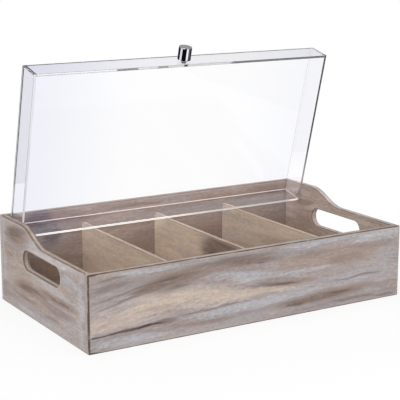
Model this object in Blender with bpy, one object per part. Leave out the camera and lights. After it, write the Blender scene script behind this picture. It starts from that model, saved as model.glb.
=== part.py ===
"""Wooden cutlery box with four compartments and a hinged clear lid.

Metres, +Z up. The origin is on the floor under the middle of the box, the front faces -Y and the
hinge runs along X. The lid is modelled shut, about its hinge line, and its empty then turns it open.
"""

import math

import bmesh
import bpy
from mathutils import Matrix, Vector

# Box
box_width = 0.450
box_depth = 0.252
front_height = 0.0935
wall_thickness = 0.008
bottom_thickness = 0.005
divider_thickness = 0.006
divider_count = 3
joint_gap = 0.0003
board_edge_round = 0.0008
divider_edge_round = 0.0006

# Curved step in the top of each side panel, measured back from the front of the box
shoulder_start = 0.120
shoulder_end = 0.184
shoulder_steps = 16

# Hand slots in the side panels
slot_length = 0.107
slot_height = 0.0245
slot_cover = 0.010
slot_arc_steps = 12
cut_overrun = 0.002

# Lid, bent from one clear sheet and closed by two end plates
sheet_thickness = 0.003
lid_depth = 0.0346
bend_radius = 0.005
bend_steps = 6
lid_side_gap = 0.0016
lid_front_setback = 0.0003
lid_back_clearance = 0.0039
lid_swing_clearance = 0.0008
lid_rest_gap = 0.0003
lid_lean = math.radians(14.9)

# Hinge pins, fixed in the side panels
pin_radius = 0.0015
pin_clearance = 0.00035
pin_grip = 0.0052
pin_head_radius = 0.0032
pin_head_thickness = 0.0012
pivot_setback = 0.0087
pivot_edge = 0.0054
pivot_cover = 0.0138
hinge_washer_radius = 0.004
round_sides = 24

# Knob, with its screw and washer
knob_radius = 0.0085
knob_length = 0.017
knob_edge_round = 0.0008
knob_bore_depth = 0.010
knob_sides = 48
screw_radius = 0.002
screw_clearance = 0.00035
screw_head_radius = 0.0036
screw_head_height = 0.0022
screw_end_room = 0.0008
knob_washer_radius = 0.0046
knob_washer_thickness = 0.0008

# Brads
brad_radius = 0.0008
brad_length = 0.022
brad_tip = 0.0014
brad_sunk = 0.0005
brad_sides = 8
corner_brad_height_shares = (0.24, 0.80)
divider_brad_height_share = 0.55
bottom_brad_width_shares = (-0.37, 0.37)

# Sizes that follow from the ones above
half_width = box_width / 2
half_depth = box_depth / 2
front_inner_y = wall_thickness - half_depth
back_inner_y = half_depth - wall_thickness
side_inner_x = half_width - wall_thickness
pivot_drop = lid_depth - pivot_edge
pivot_z = front_height + lid_rest_gap + pivot_edge
back_height = pivot_z + pivot_cover
bend_reach = math.hypot(pivot_setback - bend_radius, pivot_drop - bend_radius) + bend_radius
pivot_y = back_inner_y - lid_back_clearance - bend_reach
lid_length = pivot_y + pivot_setback + half_depth - lid_front_setback
divider_top = pivot_z - math.hypot(pivot_setback, pivot_edge) - lid_swing_clearance
open_angle = math.pi / 2 - lid_lean
end_outer_x = side_inner_x - lid_side_gap
end_inner_x = end_outer_x - sheet_thickness
sheet_half_length = end_inner_x - joint_gap
hinge_washer_thickness = lid_side_gap - 2 * joint_gap
compartment_width = (2 * side_inner_x - divider_count * divider_thickness) / (divider_count + 1)
slot_z = front_height - slot_cover - slot_height / 2


def clear_scene():
    """Start from an empty scene."""
    for old in list(bpy.data.objects):
        bpy.data.objects.remove(old, do_unlink=True)


def make_material(name, colour, roughness, metallic=0.0, alpha=1.0):
    """A Principled BSDF in one colour."""
    material = bpy.data.materials.new(name)
    material.use_nodes = True
    shader = material.node_tree.nodes["Principled BSDF"]
    shader.inputs["Base Color"].default_value = (*colour, 1.0)
    shader.inputs["Roughness"].default_value = roughness
    shader.inputs["Metallic"].default_value = metallic
    shader.inputs["Alpha"].default_value = alpha
    material.diffuse_color = (*colour, alpha)
    return material


def add_object(name, bm, material=None, location=(0, 0, 0), turn=None, parent=None):
    """Turn a bmesh into a named object at a place."""
    bmesh.ops.recalc_face_normals(bm, faces=bm.faces)
    mesh = bpy.data.meshes.new(name)
    bm.to_mesh(mesh)
    bm.free()
    obj = bpy.data.objects.new(name, mesh)
    bpy.context.collection.objects.link(obj)
    if material is not None:
        mesh.materials.append(material)
    obj.location = location
    if turn is not None:
        obj.rotation_euler = turn
    obj.parent = parent
    return obj


def add_cutter(name, bm, location=(0, 0, 0), turn=None, parent=None):
    """A shape that is only taken away from others."""
    cutter = add_object(name, bm, None, location, turn, parent)
    cutter.hide_render = True
    cutter.display_type = 'WIRE'
    return cutter


def cut(obj, cutter):
    """Take a cutter out of an object."""
    modifier = obj.modifiers.new("Cut " + cutter.name, 'BOOLEAN')
    modifier.operation = 'DIFFERENCE'
    modifier.solver = 'EXACT'
    modifier.object = cutter


def soften(obj, width, segments=2):
    """Round the sharp edges of an object."""
    modifier = obj.modifiers.new("Soft edges", 'BEVEL')
    modifier.width = width
    modifier.segments = segments
    modifier.limit_method = 'ANGLE'
    modifier.angle_limit = math.radians(40)
    modifier.use_clamp_overlap = True


def smooth_round(obj):
    """Shade a round piece smooth, with its real edges kept sharp."""
    obj.data.shade_smooth()
    obj.data.set_sharp_from_angle(angle=math.radians(35))


def board(size_x, size_y, size_z):
    """A board centred on the origin."""
    bm = bmesh.new()
    bmesh.ops.create_cube(bm, size=1.0)
    bmesh.ops.scale(bm, vec=(size_x, size_y, size_z), verts=bm.verts)
    return bm


def prism_along_x(outline, low_x, high_x):
    """An outline of (y, z) points, extruded from one x to another."""
    bm = bmesh.new()
    verts = [bm.verts.new((low_x, y, z)) for y, z in outline]
    face = bm.faces.new(verts)
    grown = bmesh.ops.extrude_face_region(bm, geom=[face])
    moved = [item for item in grown["geom"] if isinstance(item, bmesh.types.BMVert)]
    bmesh.ops.translate(bm, vec=(high_x - low_x, 0, 0), verts=moved)
    return bm


def turned(profile, sides, bm=None, matrix=None):
    """Spin (radius, height) points about Z, into a new bmesh or one that is given."""
    piece = bmesh.new()
    verts = [piece.verts.new((radius, 0, height)) for radius, height in profile]
    edges = [piece.edges.new(pair) for pair in zip(verts, verts[1:])]
    if profile[0][0] > 0:
        edges.append(piece.edges.new((verts[-1], verts[0])))
    bmesh.ops.spin(piece, geom=verts + edges, cent=(0, 0, 0), axis=(0, 0, 1), angle=2 * math.pi,
                   steps=sides, use_merge=True)
    bmesh.ops.remove_doubles(piece, verts=piece.verts, dist=joint_gap / 100)
    bmesh.ops.recalc_face_normals(piece, faces=piece.faces)
    if matrix is not None:
        piece.transform(matrix)
    if bm is None:
        return piece
    scrap = bpy.data.meshes.new("turned piece")
    piece.to_mesh(scrap)
    piece.free()
    bm.from_mesh(scrap)
    bpy.data.meshes.remove(scrap)
    return bm


def rod(radius, low, high, sides):
    """A plain cylinder along Z."""
    return turned([(0, low), (radius, low), (radius, high), (0, high)], sides)


def ring(inner_radius, outer_radius, low, high, sides):
    """A flat ring along Z."""
    points = [(inner_radius, low), (outer_radius, low), (outer_radius, high), (inner_radius, high)]
    return turned(points, sides)


def arc_points(centre, radius, start_angle, end_angle, steps):
    """Points along an arc in the (y, z) plane."""
    points = []
    for index in range(steps + 1):
        angle = start_angle + (end_angle - start_angle) * index / steps
        points.append((centre[0] + radius * math.cos(angle), centre[1] + radius * math.sin(angle)))
    return points


def side_outline():
    """The side panel seen from its end, with the curved step in its top edge."""
    front_y = front_inner_y + joint_gap
    back_y = back_inner_y - joint_gap
    points = [(front_y, 0), (back_y, 0), (back_y, back_height)]
    rise = back_height - front_height
    for index in range(shoulder_steps, -1, -1):
        share = index / shoulder_steps
        y = shoulder_start + (shoulder_end - shoulder_start) * share - half_depth
        z = front_height + rise * (1 - math.cos(math.pi * share)) / 2
        points.append((y, z))
    points.append((front_y, front_height))
    return points


def slot_outline():
    """A slot with round ends, centred in the depth of the box."""
    radius = slot_height / 2
    reach = slot_length / 2 - radius
    quarter = math.pi / 2
    back_end = arc_points((reach, slot_z), radius, -quarter, quarter, slot_arc_steps)
    front_end = arc_points((-reach, slot_z), radius, quarter, 3 * quarter, slot_arc_steps)
    return back_end + front_end


def lid_skin_outline(inset):
    """The outer line of the shut lid about its hinge line, moved in by an inset."""
    radius = bend_radius - inset
    back_y = pivot_setback - inset
    front_y = pivot_setback - lid_length + inset
    top_z = pivot_drop - inset
    low_z = pivot_drop - lid_depth
    quarter = math.pi / 2
    points = [(back_y, low_z)]
    points += arc_points((back_y - radius, top_z - radius), radius, 0, quarter, bend_steps)
    points += arc_points((front_y + radius, top_z - radius), radius, quarter, 2 * quarter, bend_steps)
    points.append((front_y, low_z))
    return points


def brad_spots_in_ends(panel_height):
    """Places (x, z) of the brads that go into side panels, dividers and bottom board."""
    spots = []
    for x in (-half_width + wall_thickness / 2, half_width - wall_thickness / 2):
        spots += [(x, panel_height * share) for share in corner_brad_height_shares]
    for x in divider_places():
        spots.append((x, divider_top * divider_brad_height_share))
    spots += [(box_width * share, bottom_thickness / 2) for share in bottom_brad_width_shares]
    return spots


def divider_places():
    """The x of each divider's middle."""
    pitch = compartment_width + divider_thickness
    first = -side_inner_x + compartment_width + divider_thickness / 2
    return [first + pitch * index for index in range(divider_count)]


def add_brads(name, places, material):
    """Equal brads driven in at some places, and one cutter for their holes."""
    shank_end = brad_length - brad_tip
    brad_profile = [(0, 0), (brad_radius, 0), (brad_radius, shank_end), (0, brad_length)]
    hole_radius = brad_radius + joint_gap
    hole_end = brad_length + joint_gap
    hole_profile = [(0, -cut_overrun), (hole_radius, -cut_overrun), (hole_radius, hole_end), (0, hole_end)]
    brad_mesh = None
    holes = bmesh.new()
    for index, (start, direction) in enumerate(places):
        turn = Vector((0, 0, 1)).rotation_difference(Vector(direction))
        sunk = Vector(start) + Vector(direction) * brad_sunk
        if brad_mesh is None:
            brad = add_object(name + "_1", turned(brad_profile, brad_sides), material)
            brad_mesh = brad.data
        else:
            brad = bpy.data.objects.new(name + "_" + str(index + 1), brad_mesh)
            bpy.context.collection.objects.link(brad)
        brad.location = sunk
        brad.rotation_euler = turn.to_euler()
        turned(hole_profile, brad_sides, holes, Matrix.Translation(sunk) @ turn.to_matrix().to_4x4())
    return add_cutter(name + "_holes", holes)


def build_box():
    """The wooden box: walls, bottom, dividers and the brads that hold them."""
    wood = make_material("whitewashed_wood", (0.45, 0.38, 0.33), 0.75)
    inner_wood = make_material("stained_inner_wood", (0.52, 0.38, 0.27), 0.7)
    steel = make_material("brad_steel", (0.5, 0.48, 0.45), 0.4, 1.0)

    front_places = [((x, -half_depth, z), (0, 1, 0)) for x, z in brad_spots_in_ends(front_height)]
    back_places = [((x, half_depth, z), (0, -1, 0)) for x, z in brad_spots_in_ends(back_height)]
    front_holes = add_brads("front_brad", front_places, steel)
    back_holes = add_brads("back_brad", back_places, steel)

    front_y = wall_thickness / 2 - half_depth
    front = add_object("front_panel", board(box_width, wall_thickness, front_height), wood,
                       (0, front_y, front_height / 2))
    soften(front, board_edge_round)
    cut(front, front_holes)

    back = add_object("back_panel", board(box_width, wall_thickness, back_height), wood,
                      (0, -front_y, back_height / 2))
    soften(back, board_edge_round)
    cut(back, back_holes)

    slot_bm = prism_along_x(slot_outline(), -half_width - cut_overrun, half_width + cut_overrun)
    slot_cutter = add_cutter("hand_slot_cutter", slot_bm)
    hole_radius = pin_radius + joint_gap
    hole_end = side_inner_x + pin_grip + joint_gap
    pin_hole_bm = rod(hole_radius, -hole_end, hole_end, round_sides)
    pin_hole = add_cutter("pin_hole_cutter", pin_hole_bm, (0, pivot_y, pivot_z), (0, math.pi / 2, 0))
    for name, low_x in (("left_side_panel", -half_width), ("right_side_panel", side_inner_x)):
        side = add_object(name, prism_along_x(side_outline(), low_x, low_x + wall_thickness), wood)
        soften(side, board_edge_round)
        for cutter in (slot_cutter, pin_hole, front_holes, back_holes):
            cut(side, cutter)

    inner_length = back_inner_y - front_inner_y - 2 * joint_gap
    bottom_width = 2 * (side_inner_x - joint_gap)
    bottom = add_object("bottom_board", board(bottom_width, inner_length, bottom_thickness), inner_wood,
                        (0, 0, bottom_thickness / 2))
    cut(bottom, front_holes)
    cut(bottom, back_holes)

    divider_low = bottom_thickness + joint_gap
    divider_height = divider_top - divider_low
    for index, x in enumerate(divider_places()):
        divider = add_object("divider_" + str(index + 1),
                             board(divider_thickness, inner_length, divider_height), inner_wood,
                             (x, 0, divider_low + divider_height / 2))
        soften(divider, divider_edge_round)
        cut(divider, front_holes)
        cut(divider, back_holes)


def build_hinges():
    """Nylon pins fixed in the side panels, each with a washer beside the lid's end plate."""
    nylon = make_material("clear_nylon", (0.85, 0.86, 0.88), 0.3, 0.0, 0.6)
    head_low = end_inner_x - joint_gap - pin_head_thickness
    head_high = end_inner_x - joint_gap
    pin_end = side_inner_x + pin_grip
    head_flat = pin_head_radius - pin_head_thickness / 2
    profile = [(0, head_low), (head_flat, head_low), (pin_head_radius, head_low + pin_head_thickness / 2),
               (pin_head_radius, head_high), (pin_radius, head_high), (pin_radius, pin_end), (0, pin_end)]
    washer_low = end_outer_x + joint_gap
    for side, sign in (("left", -1), ("right", 1)):
        turn = (0, sign * math.pi / 2, 0)
        pin = add_object("hinge_pin_" + side, turned(profile, round_sides), nylon,
                         (0, pivot_y, pivot_z), turn)
        smooth_round(pin)
        washer_bm = ring(pin_radius + pin_clearance, hinge_washer_radius, washer_low,
                         washer_low + hinge_washer_thickness, round_sides)
        washer = add_object("hinge_washer_" + side, washer_bm, nylon, (0, pivot_y, pivot_z), turn)
        smooth_round(washer)


def build_lid():
    """The clear lid and its knob, carried by an empty on the hinge line."""
    clear = make_material("clear_acrylic", (0.93, 0.94, 0.97), 0.05, 0.0, 0.35)
    chrome = make_material("polished_chrome", (0.75, 0.75, 0.78), 0.08, 1.0)
    steel = make_material("screw_steel", (0.6, 0.6, 0.6), 0.3, 1.0)
    nylon = make_material("washer_nylon", (0.8, 0.8, 0.8), 0.5)

    hinge = bpy.data.objects.new("lid_hinge_line", None)
    bpy.context.collection.objects.link(hinge)
    hinge.location = (0, pivot_y, pivot_z)

    cover_outline = lid_skin_outline(0) + lid_skin_outline(sheet_thickness)[::-1]
    cover = add_object("lid_cover", prism_along_x(cover_outline, -sheet_half_length, sheet_half_length),
                       clear, parent=hinge)
    hole_bm = rod(screw_radius + screw_clearance, -cut_overrun, sheet_thickness + cut_overrun, round_sides)
    flange_y = pivot_setback - lid_length
    knob_z = pivot_drop - lid_depth / 2
    along_front = (math.pi / 2, 0, 0)
    cut(cover, add_cutter("knob_hole_cutter", hole_bm, (0, flange_y + sheet_thickness, knob_z),
                          along_front, hinge))

    plate_hole_bm = rod(pin_radius + pin_clearance, -half_width, half_width, round_sides)
    plate_hole = add_cutter("plate_hole_cutter", plate_hole_bm, (0, 0, 0), (0, math.pi / 2, 0), hinge)
    for name, low_x in (("lid_left_end", -end_outer_x), ("lid_right_end", end_inner_x)):
        plate = add_object(name, prism_along_x(lid_skin_outline(0), low_x, low_x + sheet_thickness),
                           clear, parent=hinge)
        cut(plate, plate_hole)

    # The knob's pieces stand along their own Z, which the turn points out of the front flange.
    bore_radius = screw_radius + screw_clearance
    knob_profile = [(bore_radius, 0), (knob_radius - knob_edge_round, 0), (knob_radius, knob_edge_round),
                    (knob_radius, knob_length - knob_edge_round),
                    (knob_radius - knob_edge_round / 3, knob_length - knob_edge_round / 3),
                    (knob_radius - knob_edge_round, knob_length), (0, knob_length)]
    knob_bm = turned([(0, knob_bore_depth), (bore_radius, knob_bore_depth)] + knob_profile, knob_sides)
    knob = add_object("lid_knob", knob_bm, chrome, (0, flange_y - joint_gap, knob_z), along_front, hinge)
    smooth_round(knob)

    inner_y = flange_y + sheet_thickness
    washer_bm = ring(bore_radius, knob_washer_radius, -knob_washer_thickness, 0, round_sides)
    washer = add_object("knob_washer", washer_bm, nylon, (0, inner_y + joint_gap, knob_z), along_front, hinge)
    smooth_round(washer)

    head_y = inner_y + 2 * joint_gap + knob_washer_thickness
    screw_length = head_y - flange_y + joint_gap + knob_bore_depth - screw_end_room
    head_edge = screw_head_radius - screw_head_height / 3
    screw_profile = [(0, -screw_head_height), (head_edge, -screw_head_height),
                     (screw_head_radius, -screw_head_height * 2 / 3), (screw_head_radius, 0),
                     (screw_radius, 0), (screw_radius, screw_length), (0, screw_length)]
    screw = add_object("knob_screw", turned(screw_profile, round_sides), steel, (0, head_y, knob_z),
                       along_front, hinge)
    smooth_round(screw)

    hinge.rotation_euler = (-open_angle, 0, 0)


clear_scene()
build_box()
build_hinges()
build_lid()
bpy.context.view_layer.update()
print("hinge line at y", round(pivot_y, 5), "z", round(pivot_z, 5))
print("back height", round(back_height, 5), "lid length", round(lid_length, 5))
print("divider top", round(divider_top, 5), "compartment", round(compartment_width, 5))
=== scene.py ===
import math

import bmesh
import bpy
from mathutils import Matrix, Vector


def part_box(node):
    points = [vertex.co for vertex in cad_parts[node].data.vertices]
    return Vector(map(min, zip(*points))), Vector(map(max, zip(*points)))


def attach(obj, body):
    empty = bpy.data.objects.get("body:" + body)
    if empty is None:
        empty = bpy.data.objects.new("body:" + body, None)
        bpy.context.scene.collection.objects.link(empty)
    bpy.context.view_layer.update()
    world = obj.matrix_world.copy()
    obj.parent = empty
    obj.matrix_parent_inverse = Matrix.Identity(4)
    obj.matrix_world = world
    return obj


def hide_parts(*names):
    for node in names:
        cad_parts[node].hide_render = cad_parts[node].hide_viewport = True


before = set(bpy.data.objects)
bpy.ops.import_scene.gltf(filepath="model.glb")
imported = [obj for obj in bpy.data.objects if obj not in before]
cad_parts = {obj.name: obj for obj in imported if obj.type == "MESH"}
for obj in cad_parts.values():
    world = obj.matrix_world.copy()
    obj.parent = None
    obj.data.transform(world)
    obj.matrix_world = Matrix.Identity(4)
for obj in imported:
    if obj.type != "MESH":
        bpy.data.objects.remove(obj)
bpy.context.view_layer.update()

# Bottom board. A 5 mm sheet of pale plywood laid between the walls, stained thinly and left
# matt, glued and pinned at its edges. The makers of boards and finishes that the other pieces
# share are defined here.


def tint(red, green, blue):
    """A colour as it looks on a screen, 0 to 255, as the linear colour that a shader takes."""
    def linear(value):
        value /= 255
        return value / 12.92 if value <= 0.04045 else ((value + 0.055) / 1.055) ** 2.4
    return (linear(red), linear(green), linear(blue), 1.0)


class Wire:
    """One output of a finish's nodes. Sums written with it add Math nodes."""

    def __init__(self, finish, socket):
        self.finish = finish
        self.socket = socket

    def maths(self, operation, *others):
        return self.finish.node("ShaderNodeMath", {"operation": operation}, dict(enumerate((self,) + others)))

    def __add__(self, other):
        return self.maths("ADD", other)

    def __sub__(self, other):
        return self.maths("SUBTRACT", other)

    def __rsub__(self, other):
        return self.maths("MULTIPLY_ADD", -1.0, other)

    def __mul__(self, other):
        return self.maths("MULTIPLY", other)

    def __truediv__(self, other):
        return self.maths("DIVIDE", other)

    __radd__ = __add__
    __rmul__ = __mul__

    def larger(self, other):
        return self.maths("MAXIMUM", other)

    def smaller(self, other):
        return self.maths("MINIMUM", other)

    def held(self):
        """The value kept between 0 and 1."""
        return self.finish.node("ShaderNodeClamp", {}, {0: self})

    def between(self, low, high):
        """0 at low and 1 at high, with a soft start and end."""
        settings = {"interpolation_type": "SMOOTHSTEP"}
        return self.finish.node("ShaderNodeMapRange", settings, {0: self, 1: low, 2: high})


class Finish:
    """A material, or the studio's surroundings, built node by node."""

    def __init__(self, name, owner=None):
        self.owner = owner or bpy.data.materials.new(name)
        self.owner.use_nodes = True
        self.tree = self.owner.node_tree
        self.tree.nodes.clear()

    def node(self, kind, settings=None, values=None, output=0):
        made = self.tree.nodes.new(kind)
        for key, value in (settings or {}).items():
            setattr(made, key, value)
        for key, value in (values or {}).items():
            if isinstance(value, Wire):
                self.tree.links.new(value.socket, made.inputs[key])
            else:
                made.inputs[key].default_value = value
        return Wire(self, made.outputs[output])

    def laid(self, share, under, over, way="MIX"):
        """Two colours, the second laid over the first."""
        settings = {"data_type": "RGBA", "blend_type": way}
        return self.node("ShaderNodeMix", settings, {0: share, 6: under, 7: over}, 2)

    def axes(self):
        """The place on the piece, in metres, as three values."""
        place = self.node("ShaderNodeTexCoord", output="Object")
        return [self.node("ShaderNodeSeparateXYZ", None, {0: place}, axis) for axis in range(3)]

    def cloud(self, across, detail=3.0, rough=0.55):
        """Soft noise over three values that already count its changes."""
        place = self.node("ShaderNodeCombineXYZ", None, dict(enumerate(across)))
        values = {"Vector": place, "Scale": 1.0, "Detail": detail, "Roughness": rough}
        return self.node("ShaderNodeTexNoise", None, values)

    def bumped(self, height, depth):
        return self.node("ShaderNodeBump", None, {"Height": height, "Distance": depth})

    def solid(self, **values):
        """A Principled shader, with _ for the spaces in its sockets' names."""
        named = {key.replace("_", " "): value for key, value in values.items()}
        return self.node("ShaderNodeBsdfPrincipled", None, named)

    def done(self, shader):
        kind = "World" if isinstance(self.owner, bpy.types.World) else "Material"
        out = self.tree.nodes.new("ShaderNodeOutput" + kind)
        self.tree.links.new(shader.socket, out.inputs["Surface"])
        return self.owner


def soft_corners(points, radius, steps=3):
    """A closed line of 2-D points, wood on its left, ready to be moved inwards by any amount. Each entry is an
    anchor, the way from it to the line, that way's length, the way inwards, and the point's number."""
    entries = []
    for index, here in enumerate(points):
        here = Vector(here)
        before = (here - Vector(points[index - 1])).normalized()
        after = (Vector(points[(index + 1) % len(points)]) - here).normalized()
        left = [Vector((-way.y, way.x)) for way in (before, after)]
        inwards = (left[0] + left[1]) / (1 + left[0].dot(left[1]))
        turn = math.atan2(before.cross(after), before.dot(after))
        if radius > 0 and turn > math.radians(40):
            start = math.atan2(-left[0].y, -left[0].x)
            for step in range(steps + 1):
                angle = start + turn * step / steps
                outwards = Vector((math.cos(angle), math.sin(angle)))
                entries.append((here + inwards * radius, outwards, radius, inwards, index))
        else:
            entries.append((here, Vector((0, 0)), 0.0, inwards, index))
    return entries


def moved_in(entry, inset):
    anchor, outwards, radius, inwards, _ = entry
    if inset < radius:
        return anchor + outwards * (radius - inset)
    return anchor + inwards * (inset - radius)


def from_line(spot, start, end):
    way = Vector(end) - Vector(start)
    share = max(0, min(1, (spot - Vector(start)).dot(way) / way.length_squared))
    return (spot - Vector(start) - way * share).length


def board(name, lay, outline, low, high, finishes, holes=(), rounds=(0.0008, 0.0008), reach=0.006, corner=0.0008,
          joined=((), ()), painted=()):
    """A board cut to an outline, with its edges sanded round. lay(s, t, depth) puts a point in place. finishes are for
    the low face, the sawn edge and the high face, and any others. The outline's sides are counted from its first
    point: joined lists those whose low and whose high arris lies against another board, and painted the finish of
    each side that isn't left sawn. Each vertex keeps how far it is from the nearest bare arris, for wear and scorch."""
    spaced, sides = [], []
    for number, here in enumerate(outline):
        way = Vector(outline[(number + 1) % len(outline)]) - Vector(here)
        kept = [0, reach / way.length, 1 - reach / way.length] if number in joined[0] + joined[1] else [0]
        spaced += [tuple(Vector(here) + way * share) for share in kept]
        sides += [number] * len(kept)
    cuts = [(hole[index - 1], hole[index]) for hole in holes for index in range(len(hole))]
    bare = [cuts + [(here, outline[(number + 1) % len(outline)]) for number, here in enumerate(outline)
                    if number not in hidden] for hidden in joined]
    painted = dict(painted)

    thick = high - low
    steps = [share * math.pi / 6 for share in range(4)]
    in_face = [reach, reach * 0.6, reach * 0.35]
    low_path = [(inset, 0.0) for inset in in_face]
    low_path += [(rounds[0] * (1 - math.cos(a)), rounds[0] * (1 - math.sin(a))) for a in reversed(steps)]
    edge_path = [(0.0, thick * 0.3), (0.0, thick * 0.5), (0.0, thick * 0.7)]
    high_path = [(rounds[1] * (1 - math.cos(a)), thick - rounds[1] * (1 - math.sin(a))) for a in steps]
    high_path += [(inset, thick) for inset in reversed(in_face)]
    path = low_path + edge_path + high_path
    first_edge, last_edge = len(low_path) - 2, len(low_path) + len(edge_path) + 1

    bm = bmesh.new()
    away = bm.verts.layers.float.new("from_arris")
    inner_rings = [[], []]
    lines = [soft_corners(spaced, corner)] + [soft_corners(hole, 0.0) for hole in holes]
    for line in lines:
        rings = []
        for inset, depth in path:
            ring, last = [], None
            for entry in line:
                spot = moved_in(entry, inset)
                if last is None or (spot - last).length > 1e-6:
                    vert = bm.verts.new(lay(*spot, low + depth))
                    gaps = [min((from_line(spot, *arris) for arris in arrises), default=1.0) for arrises in bare]
                    vert[away] = min(max(gaps[0], depth), max(gaps[1], thick - depth))
                    last = spot
                ring.append(vert)
            rings.append(ring)
        for number, (ring, following) in enumerate(zip(rings, rings[1:])):
            for index in range(len(line)):
                after = (index + 1) % len(line)
                around = (ring[index], ring[after], following[after], following[index])
                corners = [vert for place, vert in enumerate(around) if vert is not around[place - 1]]
                if len(corners) > 2:
                    side = sides[line[index][4]] if line is lines[0] else None
                    part = 0 if number < first_edge else painted.get(side, 1) if number < last_edge else 2
                    bm.faces.new(corners).material_index = part
        for side, ring in ((0, rings[0]), (1, rings[-1])):
            inner_rings[side].append(ring)
    for side, rings in enumerate(inner_rings):
        if len(rings) == 1:
            faces = [bm.faces.new(dict.fromkeys(rings[0]))]
        else:
            edges = [bm.edges.get((ring[index - 1], ring[index])) for ring in rings for index in range(len(ring))
                     if ring[index - 1] is not ring[index]]
            filled = bmesh.ops.triangle_fill(bm, edges=edges, use_beauty=True)["geom"]
            faces = [item for item in filled if isinstance(item, bmesh.types.BMFace)]
        for face in faces:
            face.material_index = side * 2
    bmesh.ops.recalc_face_normals(bm, faces=bm.faces)
    for face in bm.faces:
        face.smooth = True
    return piece(name, bm, finishes)


def piece(name, bm, finishes, place=None):
    """Turns a bmesh into an object with its finishes."""
    mesh = bpy.data.meshes.new(name)
    bm.to_mesh(mesh)
    bm.free()
    for finish in finishes:
        mesh.materials.append(finish)
    made = bpy.data.objects.new(name, mesh)
    bpy.context.collection.objects.link(made)
    if place is not None:
        made.matrix_world = place
    evened = made.modifiers.new("Even shading", 'WEIGHTED_NORMAL')
    evened.weight = 90
    return made


def brushed_wood(name, along, seed, ground, coats=(), sweep=(0.0, 0.0), streaky=0.3, worn=0.6,
                 worn_colour=tint(192, 178, 169), scorch=0.85, scorch_colour=tint(84, 66, 58), charred=None):
    """Stained wood with thin paint dragged along its grain. along is the grain's axis, ground its two base colours,
    sweep the slope and the curve of the brush's way, and coats a list of (colour, strength, strokes), each stroke
    (along, up, half length, half height, slope) in mm and degrees from the row's origin. Below charred, a place along
    the grain, the scorch reaches further in from the arrises."""
    wood = Finish(name)
    x, y, z = wood.axes()
    run, up, deep = {"x": (x, z, y), "y": (y, z, x), "flat": (y, x, z)}[along]
    drift = wood.cloud((run * 8, up * 14, deep * 20 + seed), 2.0) - 0.5
    waved = up + drift * 0.012 - run * sweep[0] + run * run * sweep[1]
    broad = wood.cloud((run * 7, waved * 46, deep * 40 + seed * 2.3), 4.0, 0.65)
    lines = wood.cloud((run * 32, waved * 320, deep * 200 + seed * 3.1), 4.0, 0.7)
    hairs = wood.cloud((run * 60, waved * 1100, deep * 900 + seed), 2.0, 0.7)
    mottle = wood.cloud((run * 170, waved * 380, deep * 300 + seed * 5.3), 3.0, 0.65)

    colour = wood.laid(broad.between(0.36, 0.66), ground[0], ground[1])
    hue = wood.cloud((run * 6, waved * 30, deep * 30 + seed * 6.7), 3.0, 0.6)
    colour = wood.laid(hue.between(0.50, 0.70) * streaky * 1.6, colour, tint(186, 166, 152))
    colour = wood.laid((1 - hue).between(0.50, 0.70) * streaky * 1.6, colour, tint(158, 155, 158))
    feather = (lines - 0.5) * 2.2 + (broad - 0.5) * 2.6 + (mottle - 0.5) * 1.6
    spot = wood.node("ShaderNodeCombineXYZ", None, {0: run + drift * 0.03 + (broad - 0.5) * 0.03,
                                                    1: up + drift * 0.012 + (lines - 0.5) * 0.006})
    for coat_colour, strength, strokes in coats:
        cover = None
        for middle, height, half_length, half_height, slope in strokes:
            values = {"Vector": spot, "Location": (middle / 1000, height / 1000, 0),
                      "Rotation": (0, 0, math.radians(slope)), "Scale": (half_length / 1000, half_height / 1000, 1)}
            inside = wood.node("ShaderNodeMapping", {"vector_type": 'TEXTURE'}, values)
            reach = wood.node("ShaderNodeVectorMath", {"operation": 'LENGTH'}, {0: inside}, "Value")
            dab = (1.05 - reach) * 2.0
            cover = dab if cover is None else cover.larger(dab)
        colour = wood.laid((cover.smaller(1.0) + feather * 0.7).between(-0.3, 1.3) * strength, colour, coat_colour)

    dragged_dark = wood.cloud((run * 30, waved * 150, deep * 90 + seed * 1.7), 4.0, 0.7) + (mottle - 0.5) * 0.3
    dragged_pale = wood.cloud((run * 27, waved * 170, deep * 90 + seed * 4.9), 4.0, 0.7) + (mottle - 0.5) * 0.3
    colour = wood.laid(dragged_dark.between(0.48, 0.74) * streaky, colour, tint(136, 119, 112))
    colour = wood.laid(dragged_pale.between(0.48, 0.74) * streaky, colour, tint(190, 185, 186))
    streaks = 0.5 + (lines - 0.5) * 0.32 + (hairs - 0.5) * 0.42 + (mottle - 0.5) * 0.60
    lightness = wood.node("ShaderNodeCombineColor", None, {0: streaks, 1: streaks, 2: streaks})
    colour = wood.laid(0.6, colour, lightness, 'OVERLAY')

    away = wood.node("ShaderNodeAttribute", {"attribute_name": "from_arris"}, output="Fac") + (lines - 0.5) * 0.0012
    rubbed = (1 - away.between(0.0016, 0.0040)) * (broad * 1.7).held() * worn
    colour = wood.laid(rubbed, colour, worn_colour)
    patchy = wood.cloud((run * 40, up * 40, deep * 40 + seed), 3.0, 0.6).between(0.32, 0.50)
    if charred is not None:
        away = away - (1 - run.between(charred - 0.004, charred + 0.004)) * 0.0010
    burnt = (1 - away.between(0.0006, 0.0017)) * (patchy * 0.6 + 0.4) * scorch
    colour = wood.laid(burnt, colour, scorch_colour)

    shader = wood.solid(Base_Color=colour, Roughness=0.60 + (lines - 0.5) * 0.3, Specular_IOR_Level=0.3,
                        Normal=wood.bumped(lines * 0.7 + hairs * 0.3, 0.00010))
    return wood.done(shader)


def lie_flat(s, t, depth):
    return Vector((s, t, depth))


def across_front(s, t, depth):
    return Vector((s, depth, t))


def along_side(s, t, depth):
    return Vector((depth, s, t))


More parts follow.
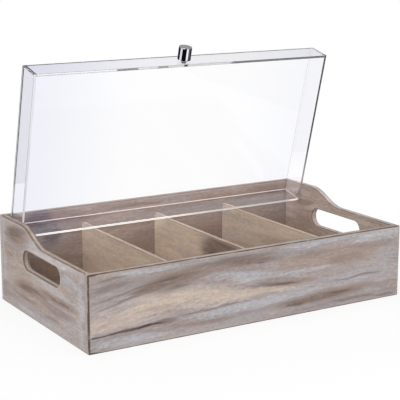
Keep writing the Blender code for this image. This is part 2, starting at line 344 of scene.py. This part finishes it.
board_low, board_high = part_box("bottom_board")
pale_ply = (tint(190, 165, 140), tint(170, 145, 122))
floor_finish = brushed_wood("bottom_ply", "flat", 4.7, pale_ply, streaky=0.2, scorch=0.0, worn=0.0)
bottom = board("bottom_ply_board", lie_flat,
               [(board_low[0], board_low[1]), (board_high[0], board_low[1]),
                (board_high[0], board_high[1]), (board_low[0], board_high[1])],
               board_low[2], board_high[2], [floor_finish] * 3, rounds=(0.0003, 0.0003), corner=0.0004)
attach(bottom, "box")
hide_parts("bottom_board")

# Dividers. Three 6 mm plywood boards, glued between the front and back walls and pinned
# through them. The middle one is darker towards the front.

ply_ground = (tint(206, 187, 167), tint(189, 169, 149))
divider_coats = {
    1: [(tint(174, 150, 127), 0.5, [(-60, 30, 70, 30, 4), (60, 14, 60, 12, 0)])],
    2: [(tint(116, 96, 86), 0.9, [(-64, 70, 62, 46, 6), (-70, 30, 60, 40, -3)]),
        (tint(88, 71, 66), 0.6, [(-36, 62, 34, 12, 8), (-80, 40, 30, 5, 4)])],
    3: [(tint(160, 139, 119), 0.6, [(-50, 55, 80, 26, 3), (40, 30, 60, 20, -4)])],
}
for number, coats in divider_coats.items():
    node = "divider_" + str(number)
    (low_x, low_y, low_z), (high_x, high_y, high_z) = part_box(node)
    face = brushed_wood("divider_ply_" + str(number), "y", 11.0 + number * 3.7, ply_ground, coats,
                        streaky=0.25, scorch=0.4, worn=0.3, worn_colour=tint(208, 190, 168))
    ply_edge = brushed_wood("divider_edge_" + str(number), "y", 2.0 + number,
                            (tint(192, 172, 155), tint(172, 150, 134)),
                            streaky=0.3, scorch=0.6, scorch_colour=tint(128, 106, 92), worn=0.2)
    divider = board("divider_board_" + str(number), along_side,
                    [(low_y, low_z), (high_y, low_z), (high_y, high_z), (low_y, high_z)], low_x, high_x,
                    [face, ply_edge, face], rounds=(0.0005, 0.0005), corner=0.0004, joined=((0, 1, 3), (0, 1, 3)))
    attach(divider, "box")
    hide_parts(node)

# Side panels. 8 mm boards with a curved step in the top edge and a long hand slot, sanded
# round after cutting, then scorched at the arrises and dry-brushed with thin white paint.

wash_ground = (tint(164, 150, 146), tint(180, 171, 171))
stain_ground = (tint(150, 131, 118), tint(168, 150, 138))
sawn_ground = (tint(184, 168, 158), tint(162, 145, 135))
burnt_brown, burnt_grey, soot = tint(122, 100, 88), tint(130, 117, 114), tint(66, 49, 41)
russet, umber = tint(142, 120, 108), tint(112, 89, 76)
pale_tan, cream, cloud_white = tint(172, 152, 138), tint(211, 193, 175), tint(188, 187, 192)
slot_low_z, slot_high_z, slot_half = 0.059, 0.0835, 0.0535
step_front, step_back, step_count = -0.006, 0.058, 40

left_low, left_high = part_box("left_side_panel")
low_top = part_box("front_panel")[1][2]
side_line = [(left_low[1], 0.0), (left_high[1], 0.0), (left_high[1], left_high[2])]
for step in range(step_count, -1, -1):
    share = step / step_count
    rise = (left_high[2] - low_top) * (1 - math.cos(math.pi * share)) / 2
    side_line.append((step_front + (step_back - step_front) * share, low_top + rise))
side_line.append((left_low[1], low_top))

slot_radius = (slot_high_z - slot_low_z) / 2
slot_line = []
for centre, start in ((slot_half - slot_radius, 90), (slot_radius - slot_half, 270)):
    for step in range(25):
        angle = math.radians(start - 180 * step / 24)
        slot_line.append((centre + slot_radius * math.cos(angle),
                          slot_low_z + slot_radius + slot_radius * math.sin(angle)))

side_wash = {
    "left": [
        (tint(182, 165, 155), 0.6, [(0, 50, 130, 30, 0)]),
        (pale_tan, 0.85, [(96, 69, 30, 8, 0), (70, 52, 40, 5, -2), (-70, 62, 30, 4, 0), (10, 22, 70, 5, 0)]),
        (russet, 0.75, [(74, 95, 44, 14, -2), (30, 36, 66, 10, -2), (-46, 42, 62, 6, 1), (92, 68, 14, 3, 2)]),
        (umber, 0.7, [(80, 97, 30, 9, -2), (36, 35, 42, 4.5, -2), (-46, 42, 50, 2, 1)]),
        (burnt_grey, 0.6, [(-44, 29, 52, 6, 1), (-24, 16, 26, 3, 0), (60, 103, 26, 4, -4), (52, 22, 38, 3, 0)]),
        (cloud_white, 0.6, [(119, 55, 10, 80, 0), (-110, 45, 9, 60, 0), (-29, 53, 62, 4.5, 2), (11, 95, 28, 7, -18),
                            (26, 7, 80, 5, 0), (-58, 90, 56, 6, 0), (-82, 72, 30, 10, 0), (-20, 88, 74, 8, 0)]),
        (tint(202, 194, 192), 0.9, [(-22, 87, 62, 9, -3)]),
    ],
    "right": [
        (burnt_brown, 0.7, [(-30, 40, 62, 8, 3), (60, 88, 40, 6, 2), (-80, 20, 34, 5, 0)]),
        (pale_tan, 0.8, [(70, 30, 50, 9, 0), (-90, 75, 26, 6, 0)]),
        (burnt_grey, 0.6, [(10, 12, 60, 5, 2), (95, 60, 24, 5, 0)]),
        (cloud_white, 0.7, [(-40, 60, 60, 5, 3), (118, 50, 9, 66, 0), (-112, 50, 9, 56, 0)]),
    ],
}
side_sawn = {"left": (tint(182, 165, 154), tint(160, 143, 133)), "right": (tint(200, 188, 181), tint(180, 166, 159))}
side_paint = {}
for side, seed, charred in (("left", 21.0, 0.2), ("right", 33.5, None)):
    node = side + "_side_panel"
    low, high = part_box(node)
    side_paint[side] = brushed_wood(side + "_side_whitewash", "y", seed, (tint(164, 148, 142), tint(180, 169, 166)),
                                    side_wash[side], scorch=0.6)
    inner = brushed_wood(side + "_side_inside", "y", seed + 5, (tint(158, 139, 126), tint(177, 160, 149)),
                         [(russet, 0.55, [(14, 62, 80, 9, 3), (-60, 32, 60, 9, 0), (78, 88, 34, 5, -4)]),
                          (umber, 0.4, [(-80, 66, 30, 3, 0), (60, 78, 26, 3, -4), (20, 92, 24, 2.5, -14)]),
                          (tint(196, 184, 176), 0.7, [(84, 103, 30, 5, -2), (44, 86, 36, 4, -10), (-62, 84, 44, 4, 0),
                                                      (-20, 52, 60, 4, 2)])], scorch=0.6)
    sawn = brushed_wood(side + "_side_sawn_edge", "y", seed + 9, side_sawn[side], streaky=0.45, scorch=0.8, worn=0.15,
                        scorch_colour=tint(98, 78, 68), charred=charred)
    finishes = [side_paint[side], sawn, inner] if side == "left" else [inner, sawn, side_paint[side]]
    ends = (1, len(side_line) - 1)
    panel = board(side + "_side_board", along_side, side_line, low[0], high[0], finishes, holes=[slot_line],
                  reach=0.0042, corner=0.0003, joined=(ends, ends))
    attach(panel, "box")
    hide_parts(node)

# Front panel. One 8 mm board over the ends of the side panels. Its stain was scorched in
# long smudges and brushed over with cream and white paint, and its arrises were burnt dark.

front_low, front_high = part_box("front_panel")
front_line = [(front_low[0], 0.0), (front_high[0], 0.0), (front_high[0], front_high[2]), (front_low[0], front_high[2])]
front_wash = [
    (tint(200, 186, 180), 0.85, [(-178, 36, 62, 10, 2), (-205, 34, 60, 8, 2), (-60, 38, 70, 7, 0)]),
    (tint(194, 182, 178), 0.65, [(-96, 50, 92, 13, -3), (-176, 50, 50, 7, 6)]),
    (tint(200, 181, 169), 0.85, [(-196, 33, 56, 9, 4), (-146, 40, 52, 8, 8)]),
    (tint(208, 191, 175), 0.85, [(-88, 47, 82, 10, -5), (-10, 43, 66, 5, -4), (-140, 48, 44, 5, 8),
                                 (22, 41, 36, 3.5, -3)]),
    (tint(206, 188, 174), 0.6, [(-84, 46, 74, 9, -5), (-8, 43, 60, 5, -4), (20, 41, 36, 4.5, -3)]),
    (pale_tan, 0.8, [(124, 68, 104, 15, -2), (60, 72, 50, 7, 0), (-90, 81, 70, 5, 3)]),
    (cloud_white, 0.85, [(-18, 63, 60, 7, -4), (-5, 26, 112, 6.5, 1.5), (190, 86, 46, 9, 0), (-150, 89, 60, 3.5, 0),
                         (110, 89, 90, 3.5, 0), (-175, 9, 50, 6, 0), (80, 57, 44, 3, 0)]),
    (cloud_white, 0.5, [(140, 36, 84, 9, 0), (30, 54, 60, 5, -3), (200, 60, 26, 12, 0)]),
    (russet, 0.65, [(-60, 79, 100, 9, 2), (-120, 70, 54, 12, 6), (46, 49, 50, 6, -7), (105, 18, 86, 8, 1),
                    (-60, 15, 50, 3, 0)]),
    (russet, 0.4, [(137, 62, 30, 7, -3), (176, 72, 44, 3, -5), (90, 76, 40, 3, 0), (-130, 14, 40, 3, 0)]),
    (burnt_grey, 0.75, [(-194, 76, 34, 5, 8), (-182, 65, 46, 2.2, 11), (-170, 58, 50, 1.8, 12), (-196, 85, 26, 2, 7),
                        (-150, 62, 40, 1.6, 13), (-60, 30, 60, 1.6, 3.5),
                        (-30, 84, 64, 3, 0), (203, 4, 20, 3, 0), (150, 6, 40, 2.5, 0)]),
    (burnt_brown, 0.65, [(-118, 73, 42, 7, 5), (-96, 66, 30, 3.5, 10), (-8, 79, 48, 4, -2), (40, 47, 34, 2.6, -8),
                         (100, 17, 60, 4.5, 1), (-150, 66, 26, 2.5, 10)]),
    (tint(112, 92, 84), 0.7, [(-124, 23.4, 20, 3.4, 3), (-170, 20.6, 44, 2.6, 2)]),
    (soot, 0.95, [(-153, 21.6, 32, 1.9, 2.5), (-190, 19.9, 34, 0.9, 2)]),
    (tint(98, 80, 72), 0.6, [(8, 75.5, 6, 1.2, 0), (127, 18, 18, 2.4, 0), (62, 14, 16, 2.6, 0), (-118, 74, 22, 2, 6),
                             (50, 46, 14, 1.5, -5)]),
    (tint(112, 104, 106), 0.65, [(150, 35.5, 48, 1.5, 0.5), (14, 48, 26, 1.2, -6)]),
    (tint(198, 193, 194), 0.65, [(190, 85, 46, 9, 0)]),
]
front_outer = brushed_wood("front_whitewash", "x", 1.3, wash_ground, front_wash, sweep=(0.04, 0.25), scorch=0.95,
                           charred=-0.214)
front_end = brushed_wood("front_end_whitewash", "y", 27.4, (tint(160, 146, 140), tint(174, 162, 158)), scorch=0.95,
                         charred=0.0)
front_inner = brushed_wood("front_inside", "x", 7.9, stain_ground,
                           [(tint(130, 110, 96), 0.5, [(-90, 60, 110, 12, 2), (110, 40, 90, 12, -2)])], scorch=0.4)
front_sawn = brushed_wood("front_sawn_edge", "x", 15.1, sawn_ground, streaky=0.45, scorch=0.9, worn=0.15)
front = board("front_board", across_front, front_line, front_low[1], front_high[1],
              [front_outer, front_sawn, front_inner, front_end],
              joined=((), (1, 3)), painted={1: 3, 3: 3}, rounds=(0.0008, 0.0003))
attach(front, "box")
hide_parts("front_panel")

# Back panel. The same board, higher, so that it reaches behind the lid's hinge. Seen from
# inside it is darker, with a purple-grey patch near its left end.

back_low, back_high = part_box("back_panel")
back_line = [(back_low[0], 0.0), (back_high[0], 0.0), (back_high[0], back_high[2]), (back_low[0], back_high[2])]
back_wash = [
    (cream, 0.8, [(90, 50, 110, 14, 2), (-120, 30, 70, 10, -3)]),
    (pale_tan, 0.8, [(-110, 80, 90, 14, 0), (150, 90, 60, 10, 0)]),
    (cloud_white, 0.8, [(0, 70, 100, 7, 2), (-60, 14, 110, 6, 0), (180, 30, 40, 10, 0), (-190, 60, 36, 10, 0)]),
    (burnt_grey, 0.75, [(160, 66, 60, 8, 6), (-20, 98, 90, 6, 0)]),
    (burnt_brown, 0.85, [(40, 84, 70, 7, 4), (-140, 52, 60, 7, -3), (90, 20, 80, 6, 1)]),
    (soot, 0.8, [(120, 35, 60, 2.6, 1), (-80, 62, 40, 2, -2)]),
]
back_inner_coats = [
    (russet, 0.6, [(0, 82, 240, 8, 0), (60, 36, 240, 30, 0)]),
    (tint(178, 160, 149), 0.6, [(0, 99, 110, 4, 0), (-60, 93, 40, 4, 2)]),
    (tint(142, 121, 106), 0.8, [(178, 104, 54, 10, 0), (108, 102, 56, 6, 0)]),
    (tint(136, 120, 115), 0.7, [(-128, 98, 36, 13, 0)]),
    (umber, 0.55, [(-30, 105, 50, 2.5, 0), (96, 97, 40, 2, -1), (190, 98, 30, 3, 0), (-110, 100, 26, 3, 3)]),
    (tint(104, 95, 100), 0.9, [(-174, 98, 26, 24, 0), (-158, 84, 18, 22, 0)]),
    (tint(132, 124, 126), 0.6, [(80, 88, 130, 4, -1)]),
]
back_outer = brushed_wood("back_whitewash", "x", 44.2, wash_ground, back_wash, sweep=(-0.03, -0.2), scorch=0.95)
back_inner = brushed_wood("back_inside", "x", 51.6, (tint(153, 135, 125), tint(168, 152, 143)), back_inner_coats,
                          scorch=0.45)
back_sawn = brushed_wood("back_sawn_edge", "x", 58.3, sawn_ground, streaky=0.45, scorch=0.65, worn=0.15)
back = board("back_board", across_front, back_line, back_low[1], back_high[1],
             [back_inner, back_sawn, back_outer, side_paint["right"], side_paint["left"]],
             joined=((1, 3), ()), painted={1: 3, 3: 4}, rounds=(0.0003, 0.0008))
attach(back, "box")
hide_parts("back_panel")

# Brads. Thin steel pins sunk below the front and back faces. Each head is covered by a dab
# of wood filler, sanded almost flush and painted with the rest.

brad_steel = Finish("brad_steel")
along, around, upward = brad_steel.axes()
scuffs = brad_steel.cloud((along * 900, around * 900, upward * 900))
brad_steel = brad_steel.done(brad_steel.solid(Base_Color=tint(170, 168, 164), Metallic=1.0,
                                              Roughness=0.3 + scuffs * 0.25))
dab_radius, dab_crown, dab_rim, dab_sides, unworn = 0.0012, 0.00012, 0.00002, 20, 0.05
for wall, outside, facing, paint in (("front", front_low[1], -1, front_outer), ("back", back_high[1], 1, back_outer)):
    dabs = bmesh.new()
    for number in range(1, 10):
        node = wall + "_brad_" + str(number)
        for material_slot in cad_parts[node].material_slots:
            material_slot.material = brad_steel
        low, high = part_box(node)
        centre = Vector(((low[0] + high[0]) / 2, outside, (low[2] + high[2]) / 2))
        crown = dabs.verts.new(centre + Vector((0, facing * dab_crown, 0)))
        rim = []
        for step in range(dab_sides):
            angle = step * 2 * math.pi / dab_sides
            radius = dab_radius * (1 + 0.08 * math.sin(3 * angle + number))
            rim.append(dabs.verts.new(centre + Vector((radius * math.cos(angle), facing * dab_rim,
                                                       radius * math.sin(angle)))))
        for index, vert in enumerate(rim):
            dabs.faces.new((crown, vert, rim[index - 1]) if facing < 0 else (crown, rim[index - 1], vert)).smooth = True
    filler = piece(wall + "_brad_filler", dabs, [paint])
    away = filler.data.attributes.new("from_arris", 'FLOAT', 'POINT')
    away.data.foreach_set("value", [unworn] * len(filler.data.vertices))
    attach(filler, "box")

# Hinge pins and washers. Turned from clear nylon. Each pin passes through an end plate of the
# lid and is glued into the side panel, with a washer to keep the plate off the wood.

nylon = Finish("clear_nylon")
along, around, upward = nylon.axes()
haze = nylon.cloud((along * 500, around * 500, upward * 500))
nylon = nylon.done(nylon.solid(Base_Color=nylon.laid(haze, tint(222, 208, 200), tint(236, 224, 217)),
                               Roughness=0.18 + haze * 0.15, IOR=1.53, Transmission_Weight=0.6))
for node in ("hinge_pin_left", "hinge_pin_right", "hinge_washer_left", "hinge_washer_right"):
    for material_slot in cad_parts[node].material_slots:
        material_slot.material = nylon

# Lid cover. A clear 3 mm acrylic sheet, heated along two lines and bent down at the front and
# the back. Its faces carry a painted shade, a faint lavender towards the ends and on the front flange, and
# its edges are polished, with painted shade and painted highlights along them and along its bends.

sheet, lid_deep, bend_outside, bend_count = 0.003, 0.0346, 0.0036, 9
behind_hinge, over_hinge, lid_long = 0.0087, 0.0292, 0.2190188
front_edge, free_edge = behind_hinge - lid_long, over_hinge - lid_deep
hinge_y, hinge_z, opened = 0.0846188, 0.0992, -75.1
lid_place = Matrix.Translation((0, hinge_y, hinge_z)) @ Matrix.Rotation(math.radians(opened), 4, 'X')
on_rear_bend, on_front_bend, on_rear_edge, on_front_edge, on_seam = range(1, 6)


def lamps_through(finish, shader, colour):
    """Lets lamps shine through a clear shader, so that what stands behind it isn't in full shade, and lets the
    knob's mirror image of what stands beyond the sheet through it unbent."""
    to_lamp, bounced, passed = [finish.node("ShaderNodeLightPath", output=ray) for ray in
                                ("Is Shadow Ray", "Glossy Depth", "Transmission Depth")]
    unbent = to_lamp.larger(bounced.held() * (1 - passed.held()))
    open_way = finish.node("ShaderNodeBsdfTransparent", None, {0: colour})
    return finish.node("ShaderNodeMixShader", None, {0: unbent, 1: shader, 2: open_way})


def clear_acrylic(finish, colour, mirror=0.15):
    """Clear plastic with the faint haze that wiping leaves."""
    along, around, upward = finish.axes()
    wiped = finish.cloud((along * 9, around * 26, upward * 26), 3.0, 0.6)
    return finish.solid(Base_Color=colour, Roughness=(wiped - 0.45).held() * 0.05, IOR=1.49,
                        Specular_Tint=(mirror, mirror, mirror, 1), Transmission_Weight=1.0)


def polished_edge_painted_light(name, shade, share, lit=0.0, low_shade=None):
    """The sheet's edge: clear, with a share of a painted colour that stands for the light caught inside the sheet,
    dark where it is painted shade and pale where it is a painted highlight. share is a number, or a function of the
    place along the lid that gives one. lit is how brightly the painted colour shines, as a painted highlight, and
    low_shade its painted shade towards the hinge, where wood shows through it."""
    edge = Finish(name)
    along, around, upward = edge.axes()
    saw_lines = edge.cloud((along * 700, around * 160, upward * 160), 3.0, 0.6)
    near_hinge = edge.laid(around.between(-0.080, -0.022), tint(*shade), tint(*(low_shade or shade)))
    glow = edge.solid(Base_Color=edge.laid(0.85 + saw_lines * 0.15, tint(90, 90, 96), near_hinge), Roughness=0.4,
                      Emission_Color=tint(*shade), Emission_Strength=lit)
    amount = share(along) if callable(share) else share
    mixed = edge.node("ShaderNodeMixShader", None, {0: amount, 1: clear_acrylic(edge, tint(250, 250, 252)), 2: glow})
    return edge.done(lamps_through(edge, mixed, tint(230, 232, 238)))


def painted_dark_reflection(along):
    """Painted reflection and shade where the front edge shows dark things mirrored: dashes left of the knob and one
    of the knob itself, all along its right part, and a faint grey from about the middle on.
    """
    dark = along.between(0.052, 0.068) * 0.85
    for start, end, strength in ((-0.105, -0.075, 0.7), (-0.048, -0.032, 0.65), (-0.0095, -0.0035, 0.95)):
        dash = along.between(start - 0.002, start + 0.002) * (1 - along.between(end - 0.002, end + 0.002))
        dark = dark.larger(dash * strength)
    return dark.larger(along.between(-0.13, -0.02) * 0.28)


def painted_highlight_left(along):
    """Painted highlight in the rear edge, brightest along the left half."""
    return 0.95 - along.between(-0.03, 0.08) * 0.5


clear = Finish("clear_acrylic")
along, around, upward = clear.axes()
# Painted shade: the sheet is tinted a faint lavender grey towards its ends and, a little, on its front flange.
end_share = (0 - along).between(0.04, 0.22).larger(along.between(0.08, 0.23) * 0.35)
lavender = clear.laid(end_share, tint(254, 254, 255), tint(241, 242, 250))
on_front = 1 - around.between(front_edge + 0.002, front_edge + 0.005)
lavender = clear.laid(on_front, lavender, clear.laid(end_share, tint(251, 251, 254), tint(241, 241, 249)))
clear = clear.done(lamps_through(clear, clear_acrylic(clear, lavender), tint(250, 250, 252)))
# Painted highlights and painted shade on the cover's edges and bends: pale and shining on the bends and the rear seam,
# dark on the front edge where it shows dark things mirrored, white and shining on the rear edge.
front_bend_painted_highlight = polished_edge_painted_light("acrylic_front_bend", (228, 227, 236), 0.85, 0.2)
rear_bend_painted_highlight = polished_edge_painted_light("acrylic_rear_bend", (236, 224, 220), 0.8, 0.22)
painted_front_edge_shade = polished_edge_painted_light("acrylic_front_edge", (78, 78, 84), painted_dark_reflection)
painted_rear_edge_highlight = polished_edge_painted_light("acrylic_rear_edge", (255, 255, 255), painted_highlight_left, 0.5)
painted_rear_seam_highlight = polished_edge_painted_light("acrylic_rear_seam", (236, 222, 216), 0.85, 0.25)


def lid_line(inset):
    """The lid's outer line seen from its end, shut, about its hinge line and moved in by an inset."""
    radius = bend_outside - inset
    points = [(behind_hinge - inset, free_edge)]
    for centre, start in ((behind_hinge - bend_outside, 0), (front_edge + bend_outside, 90)):
        for step in range(bend_count + 1):
            angle = math.radians(start + 90 * step / bend_count)
            points.append((centre + radius * math.cos(angle), over_hinge - bend_outside + radius * math.sin(angle)))
    return points + [(front_edge + inset, free_edge)]


cover_half = -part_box("lid_cover")[0][0]
bm = bmesh.new()
near, far = [[[bm.verts.new((x, *spot)) for spot in pair] for pair in zip(lid_line(0), lid_line(sheet))]
             for x in (-cover_half, cover_half)]
bend_faces = {1 + bend_count // 2 + step: on_rear_bend for step in (-2, -1, 0, 1, 2)}
bend_faces.update({2 + bend_count + bend_count // 2 + step: on_front_bend for step in (-1, 0, 1, 2, 3, 4)})
for index in range(len(near) - 1):
    for layer in (0, 1):
        face = bm.faces.new((near[index][layer], near[index + 1][layer], far[index + 1][layer], far[index][layer]))
        face.smooth = True
        if layer == 0:
            face.material_index = bend_faces.get(index, 0)
    for row in (near, far):
        end = bm.faces.new((row[index][0], row[index + 1][0], row[index + 1][1], row[index][1]))
        if index <= bend_count:
            end.material_index = on_seam
for index, finish in ((0, on_rear_edge), (-1, on_front_edge)):
    bm.faces.new((near[index][0], near[index][1], far[index][1], far[index][0])).material_index = finish
bmesh.ops.recalc_face_normals(bm, faces=bm.faces)
cover = piece("acrylic_cover", bm, [clear, rear_bend_painted_highlight, front_bend_painted_highlight, painted_rear_edge_highlight, painted_front_edge_shade, painted_rear_seam_highlight], lid_place)
eased = cover.modifiers.new("Eased arrises", 'BEVEL')
eased.width, eased.segments, eased.angle_limit = 0.00025, 2, math.radians(50)
cover.modifiers.move(1, 0)
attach(cover, "lid")
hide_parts("lid_cover")

# Lid end plates. Cut from the same acrylic to the cover's outline and cemented to its ends,
# with a hole for the hinge pin near the lower rear corner. Their tints, and the grey and dark lines
# at the seams and the pale and dark lines along the other edges, are painted shade and painted highlights.

plate_line = lid_line(0)
pin_hole_radius, pin_hole_sides = 0.00185, 24
pin_hole_turns = [-step * 2 * math.pi / pin_hole_sides for step in range(pin_hole_sides)]
pin_hole = [(pin_hole_radius * math.cos(turn), pin_hole_radius * math.sin(turn)) for turn in pin_hole_turns]


def painted_seam_shade(along):
    """Painted shade, dark along the half of the edge that is cemented to the cover."""
    return (1 - along.maths("ABSOLUTE").between(0.2137, 0.2143)) * 0.85


# Sides of the outline by their finish: the rear flange and bend, the cover's back, the front flange, the free edge.
plate_sides = {**dict.fromkeys(range(1 + bend_count), 3), 1 + bend_count: 4, 2 + 2 * bend_count: 5,
               3 + 2 * bend_count: 6}
# Each plate's colours are painted shade: colour, changing to low_colour towards the hinge, each plate its own.
# top_shade, free_shade and back_shade are the painted shade and painted highlights of its top seam, free edge and back
# seam, each given as the shade, its share, and where given how brightly it shines and its shade towards the hinge.
for side, colour, low_colour, mirror, top_shade, free_shade, back_shade in (
        ("left", (252, 251, 254), (249, 249, 252), 0.5,
         ((60, 60, 66), painted_seam_shade), ((236, 234, 242), 0.8, 0.25), ((172, 172, 180), 0.8, 0.05, (232, 224, 226))),
        ("right", (249, 249, 253), (254, 254, 255), 0.2,
         ((104, 102, 110), 0.5), ((70, 70, 75), 0.85, 0.0, (212, 198, 194)), ((252, 252, 254), 0.9, 0.3))):
    node = "lid_" + side + "_end"
    low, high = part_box(node)
    plate_face = Finish("clear_acrylic_" + side)
    along, around, upward = plate_face.axes()
    shaded = plate_face.laid(around.between(-0.06, -0.03), tint(*colour), tint(*low_colour))
    plate_face = plate_face.done(lamps_through(plate_face, clear_acrylic(plate_face, shaded, mirror),
                                               tint(240, 240, 248)))
    painted_top_seam_shade, painted_free_edge_light, painted_back_seam_light = [
        polished_edge_painted_light("acrylic_" + side + name, *shade) for name, shade in
        (("_painted_top_seam_shade", top_shade), ("_free_edge", free_shade), ("_painted_back_seam_light", back_shade))]
    plate = board("acrylic_" + side + "_plate", along_side, plate_line, low[0], high[0],
                  [plate_face, plate_face, plate_face, painted_rear_seam_highlight, painted_back_seam_light, painted_top_seam_shade, painted_free_edge_light], holes=[pin_hole],
                  rounds=(0.00025, 0.00025), reach=0.0008, corner=0.0, painted=plate_sides)
    plate.matrix_world = lid_place
    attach(plate, "lid")
    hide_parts(node)

# Knob. Turned brass, polished and chromed, with a small round on its rims. A steel screw with
# a nylon washer holds it through the lid's front flange.

chrome = Finish("polished_chrome")
along, around, upward = chrome.axes()
smears = chrome.cloud((along * 160, around * 160, upward * 60), 3.0, 0.6)
chrome = chrome.done(chrome.solid(Base_Color=tint(246, 246, 251), Metallic=1.0, Roughness=0.02 + smears * 0.04))
knob_low, knob_radius, knob_rim, rim_round, knob_top = -0.0002, 0.0085, 0.0166, 0.0004, 0.01705
turning = [(0.0, knob_low), (0.0079, knob_low), (0.0083, knob_low + 0.0002), (knob_radius, knob_low + 0.0006)]
for step in range(7):
    angle = math.radians(15 * step)
    turning.append((0.0081 + rim_round * math.cos(angle), knob_rim + rim_round * math.sin(angle)))
turning += [(0.0078, 0.01702), (0.004, knob_top), (0.0, knob_top)]
bm = bmesh.new()
verts = [bm.verts.new((radius, 0, height)) for radius, height in turning]
edges = [bm.edges.new(pair) for pair in zip(verts, verts[1:])]
bmesh.ops.spin(bm, geom=verts + edges, cent=(0, 0, 0), axis=(0, 0, 1), angle=2 * math.pi, steps=96, use_merge=True)
bmesh.ops.remove_doubles(bm, verts=bm.verts, dist=1e-6)
bmesh.ops.recalc_face_normals(bm, faces=bm.faces)
for face in bm.faces:
    face.smooth = True
knob_spot = Matrix.Translation((0, front_edge - 0.0003, over_hinge - lid_deep / 2))
knob_place = lid_place @ knob_spot @ Matrix.Rotation(math.pi / 2, 4, 'X')
knob = piece("chrome_knob", bm, [chrome], knob_place)
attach(knob, "lid")
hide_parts("lid_knob")

screw_steel = Finish("screw_steel")
along, around, upward = screw_steel.axes()
scuffs = screw_steel.cloud((along * 700, around * 700, upward * 700))
screw_steel = screw_steel.done(screw_steel.solid(Base_Color=tint(150, 150, 152), Metallic=1.0,
                                                 Roughness=0.22 + scuffs * 0.2))
for node, finish in (("knob_screw", screw_steel), ("knob_washer", nylon)):
    for material_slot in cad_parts[node].material_slots:
        material_slot.material = finish

# Studio. A plain pale floor and surroundings, and three soft lamps, of which only the first
# shows in mirrors. The black and grey cards show only after a mirror's bounce.


def plain_floor(name):
    finish = Finish(name)
    x, y, z = finish.axes()
    path = [finish.node("ShaderNodeLightPath", output=ray) for ray in
            ("Is Camera Ray", "Is Glossy Ray", "Is Transmission Ray")]
    seen = path[0].larger(path[1]).larger(path[2])
    across, along = x / 0.52, (y + 0.02) / 0.36
    reach = (across * across + along * along).maths("SQRT")
    white_share = 0.84 + reach.between(0.55, 1.1) * 0.16
    paper = finish.node("ShaderNodeBsdfDiffuse", None, {0: (0.86, 0.86, 0.86, 1)})
    white = finish.node("ShaderNodeEmission", None, {0: (1, 1, 1, 1), 1: 1.0})
    return finish.done(finish.node("ShaderNodeMixShader", None, {0: seen * white_share, 1: paper, 2: white}))


def flat_shape(name, points, height, material):
    bm = bmesh.new()
    bm.faces.new([bm.verts.new((x, y, height)) for x, y in points])
    made = piece(name, bm, [material])
    return made


flat_shape("studio_floor", [(-1.6, -1.2), (1.0, -1.2), (1.0, 0.8), (-1.6, 0.8)], -0.0002,
           plain_floor("studio_floor"))
for name, grey, points in (
        ("black_card", 0.004, [(-0.66, 0.02), (-1.0, -0.16), (-0.55, -0.62), (0.0, -0.80), (0.0, -0.26),
                               (-0.32, -0.20)]),
        ("grey_card", 0.12, [(0.30, -0.30), (0.36, -0.60), (1.0, -0.20), (0.66, 0.0)]),
        ("side_card", 0.004, [(0.66, 0.0), (1.0, -0.20), (2.2, 1.2), (1.0, 0.8)])):
    card = Finish(name)
    mirrored = card.node("ShaderNodeLightPath", output="Glossy Depth").held()
    unseen = card.node("ShaderNodeBsdfTransparent")
    dark = card.node("ShaderNodeBsdfDiffuse", None, {0: (grey, grey, grey, 1)})
    card = card.done(card.node("ShaderNodeMixShader", None, {0: mirrored, 1: unseen, 2: dark}))
    flag = flat_shape(name, points, 0.002, card)
    flag.visible_camera = flag.visible_diffuse = flag.visible_shadow = flag.visible_volume_scatter = False

world = bpy.data.worlds.new("studio")
bpy.context.scene.world = world
sky = Finish("studio", world)
way = sky.node("ShaderNodeTexCoord", output="Generated")
rise = sky.node("ShaderNodeSeparateXYZ", None, {0: way}, 2)
seen, mirrored, through = [sky.node("ShaderNodeLightPath", output=ray) for ray in
                           ("Is Camera Ray", "Is Glossy Ray", "Is Transmission Ray")]
mirror_level = 0.02 + rise.between(0.0, 0.35) * 0.31
clear_view = seen.larger(through)
level = (1 - clear_view.larger(mirrored)) * 0.36 + clear_view + mirrored * (1 - clear_view) * mirror_level
light = sky.node("ShaderNodeBackground", None, {0: (1, 1, 1, 1), 1: level})
sky.done(light)

for name, place, aim, size, power in (("key_softbox", (-1.85, -1.35, 1.6), (0, 0, 0.08), 1.5, 37),
                                      ("fill_softbox", (1.7, -1.5, 1.2), (0, 0, 0.08), 1.3, 12),
                                      ("top_softbox", (-0.1, 0.1, 2.0), (0, 0, 0), 1.4, 14)):
    lamp = bpy.data.lights.new(name, 'AREA')
    lamp.shape, lamp.size, lamp.energy = 'SQUARE', size, power
    holder = bpy.data.objects.new(name, lamp)
    bpy.context.collection.objects.link(holder)
    holder.location = place
    holder.rotation_euler = (Vector(aim) - Vector(place)).to_track_quat('-Z', 'Y').to_euler()
    holder.visible_glossy = name == "key_softbox"

# Camera. Where the photograph was taken from, with the same narrow lens.

camera = bpy.data.objects.new("camera", bpy.data.cameras.new("camera"))
bpy.context.collection.objects.link(camera)
camera.data.sensor_width, camera.data.lens = 36.0, 109.48
camera.location = (-0.79490, -1.29889, 0.46714)
camera.rotation_euler = (math.radians(77.497), 0.0, math.radians(-31.417))
bpy.context.scene.camera = camera
bpy.context.scene.view_settings.view_transform = 'Standard'
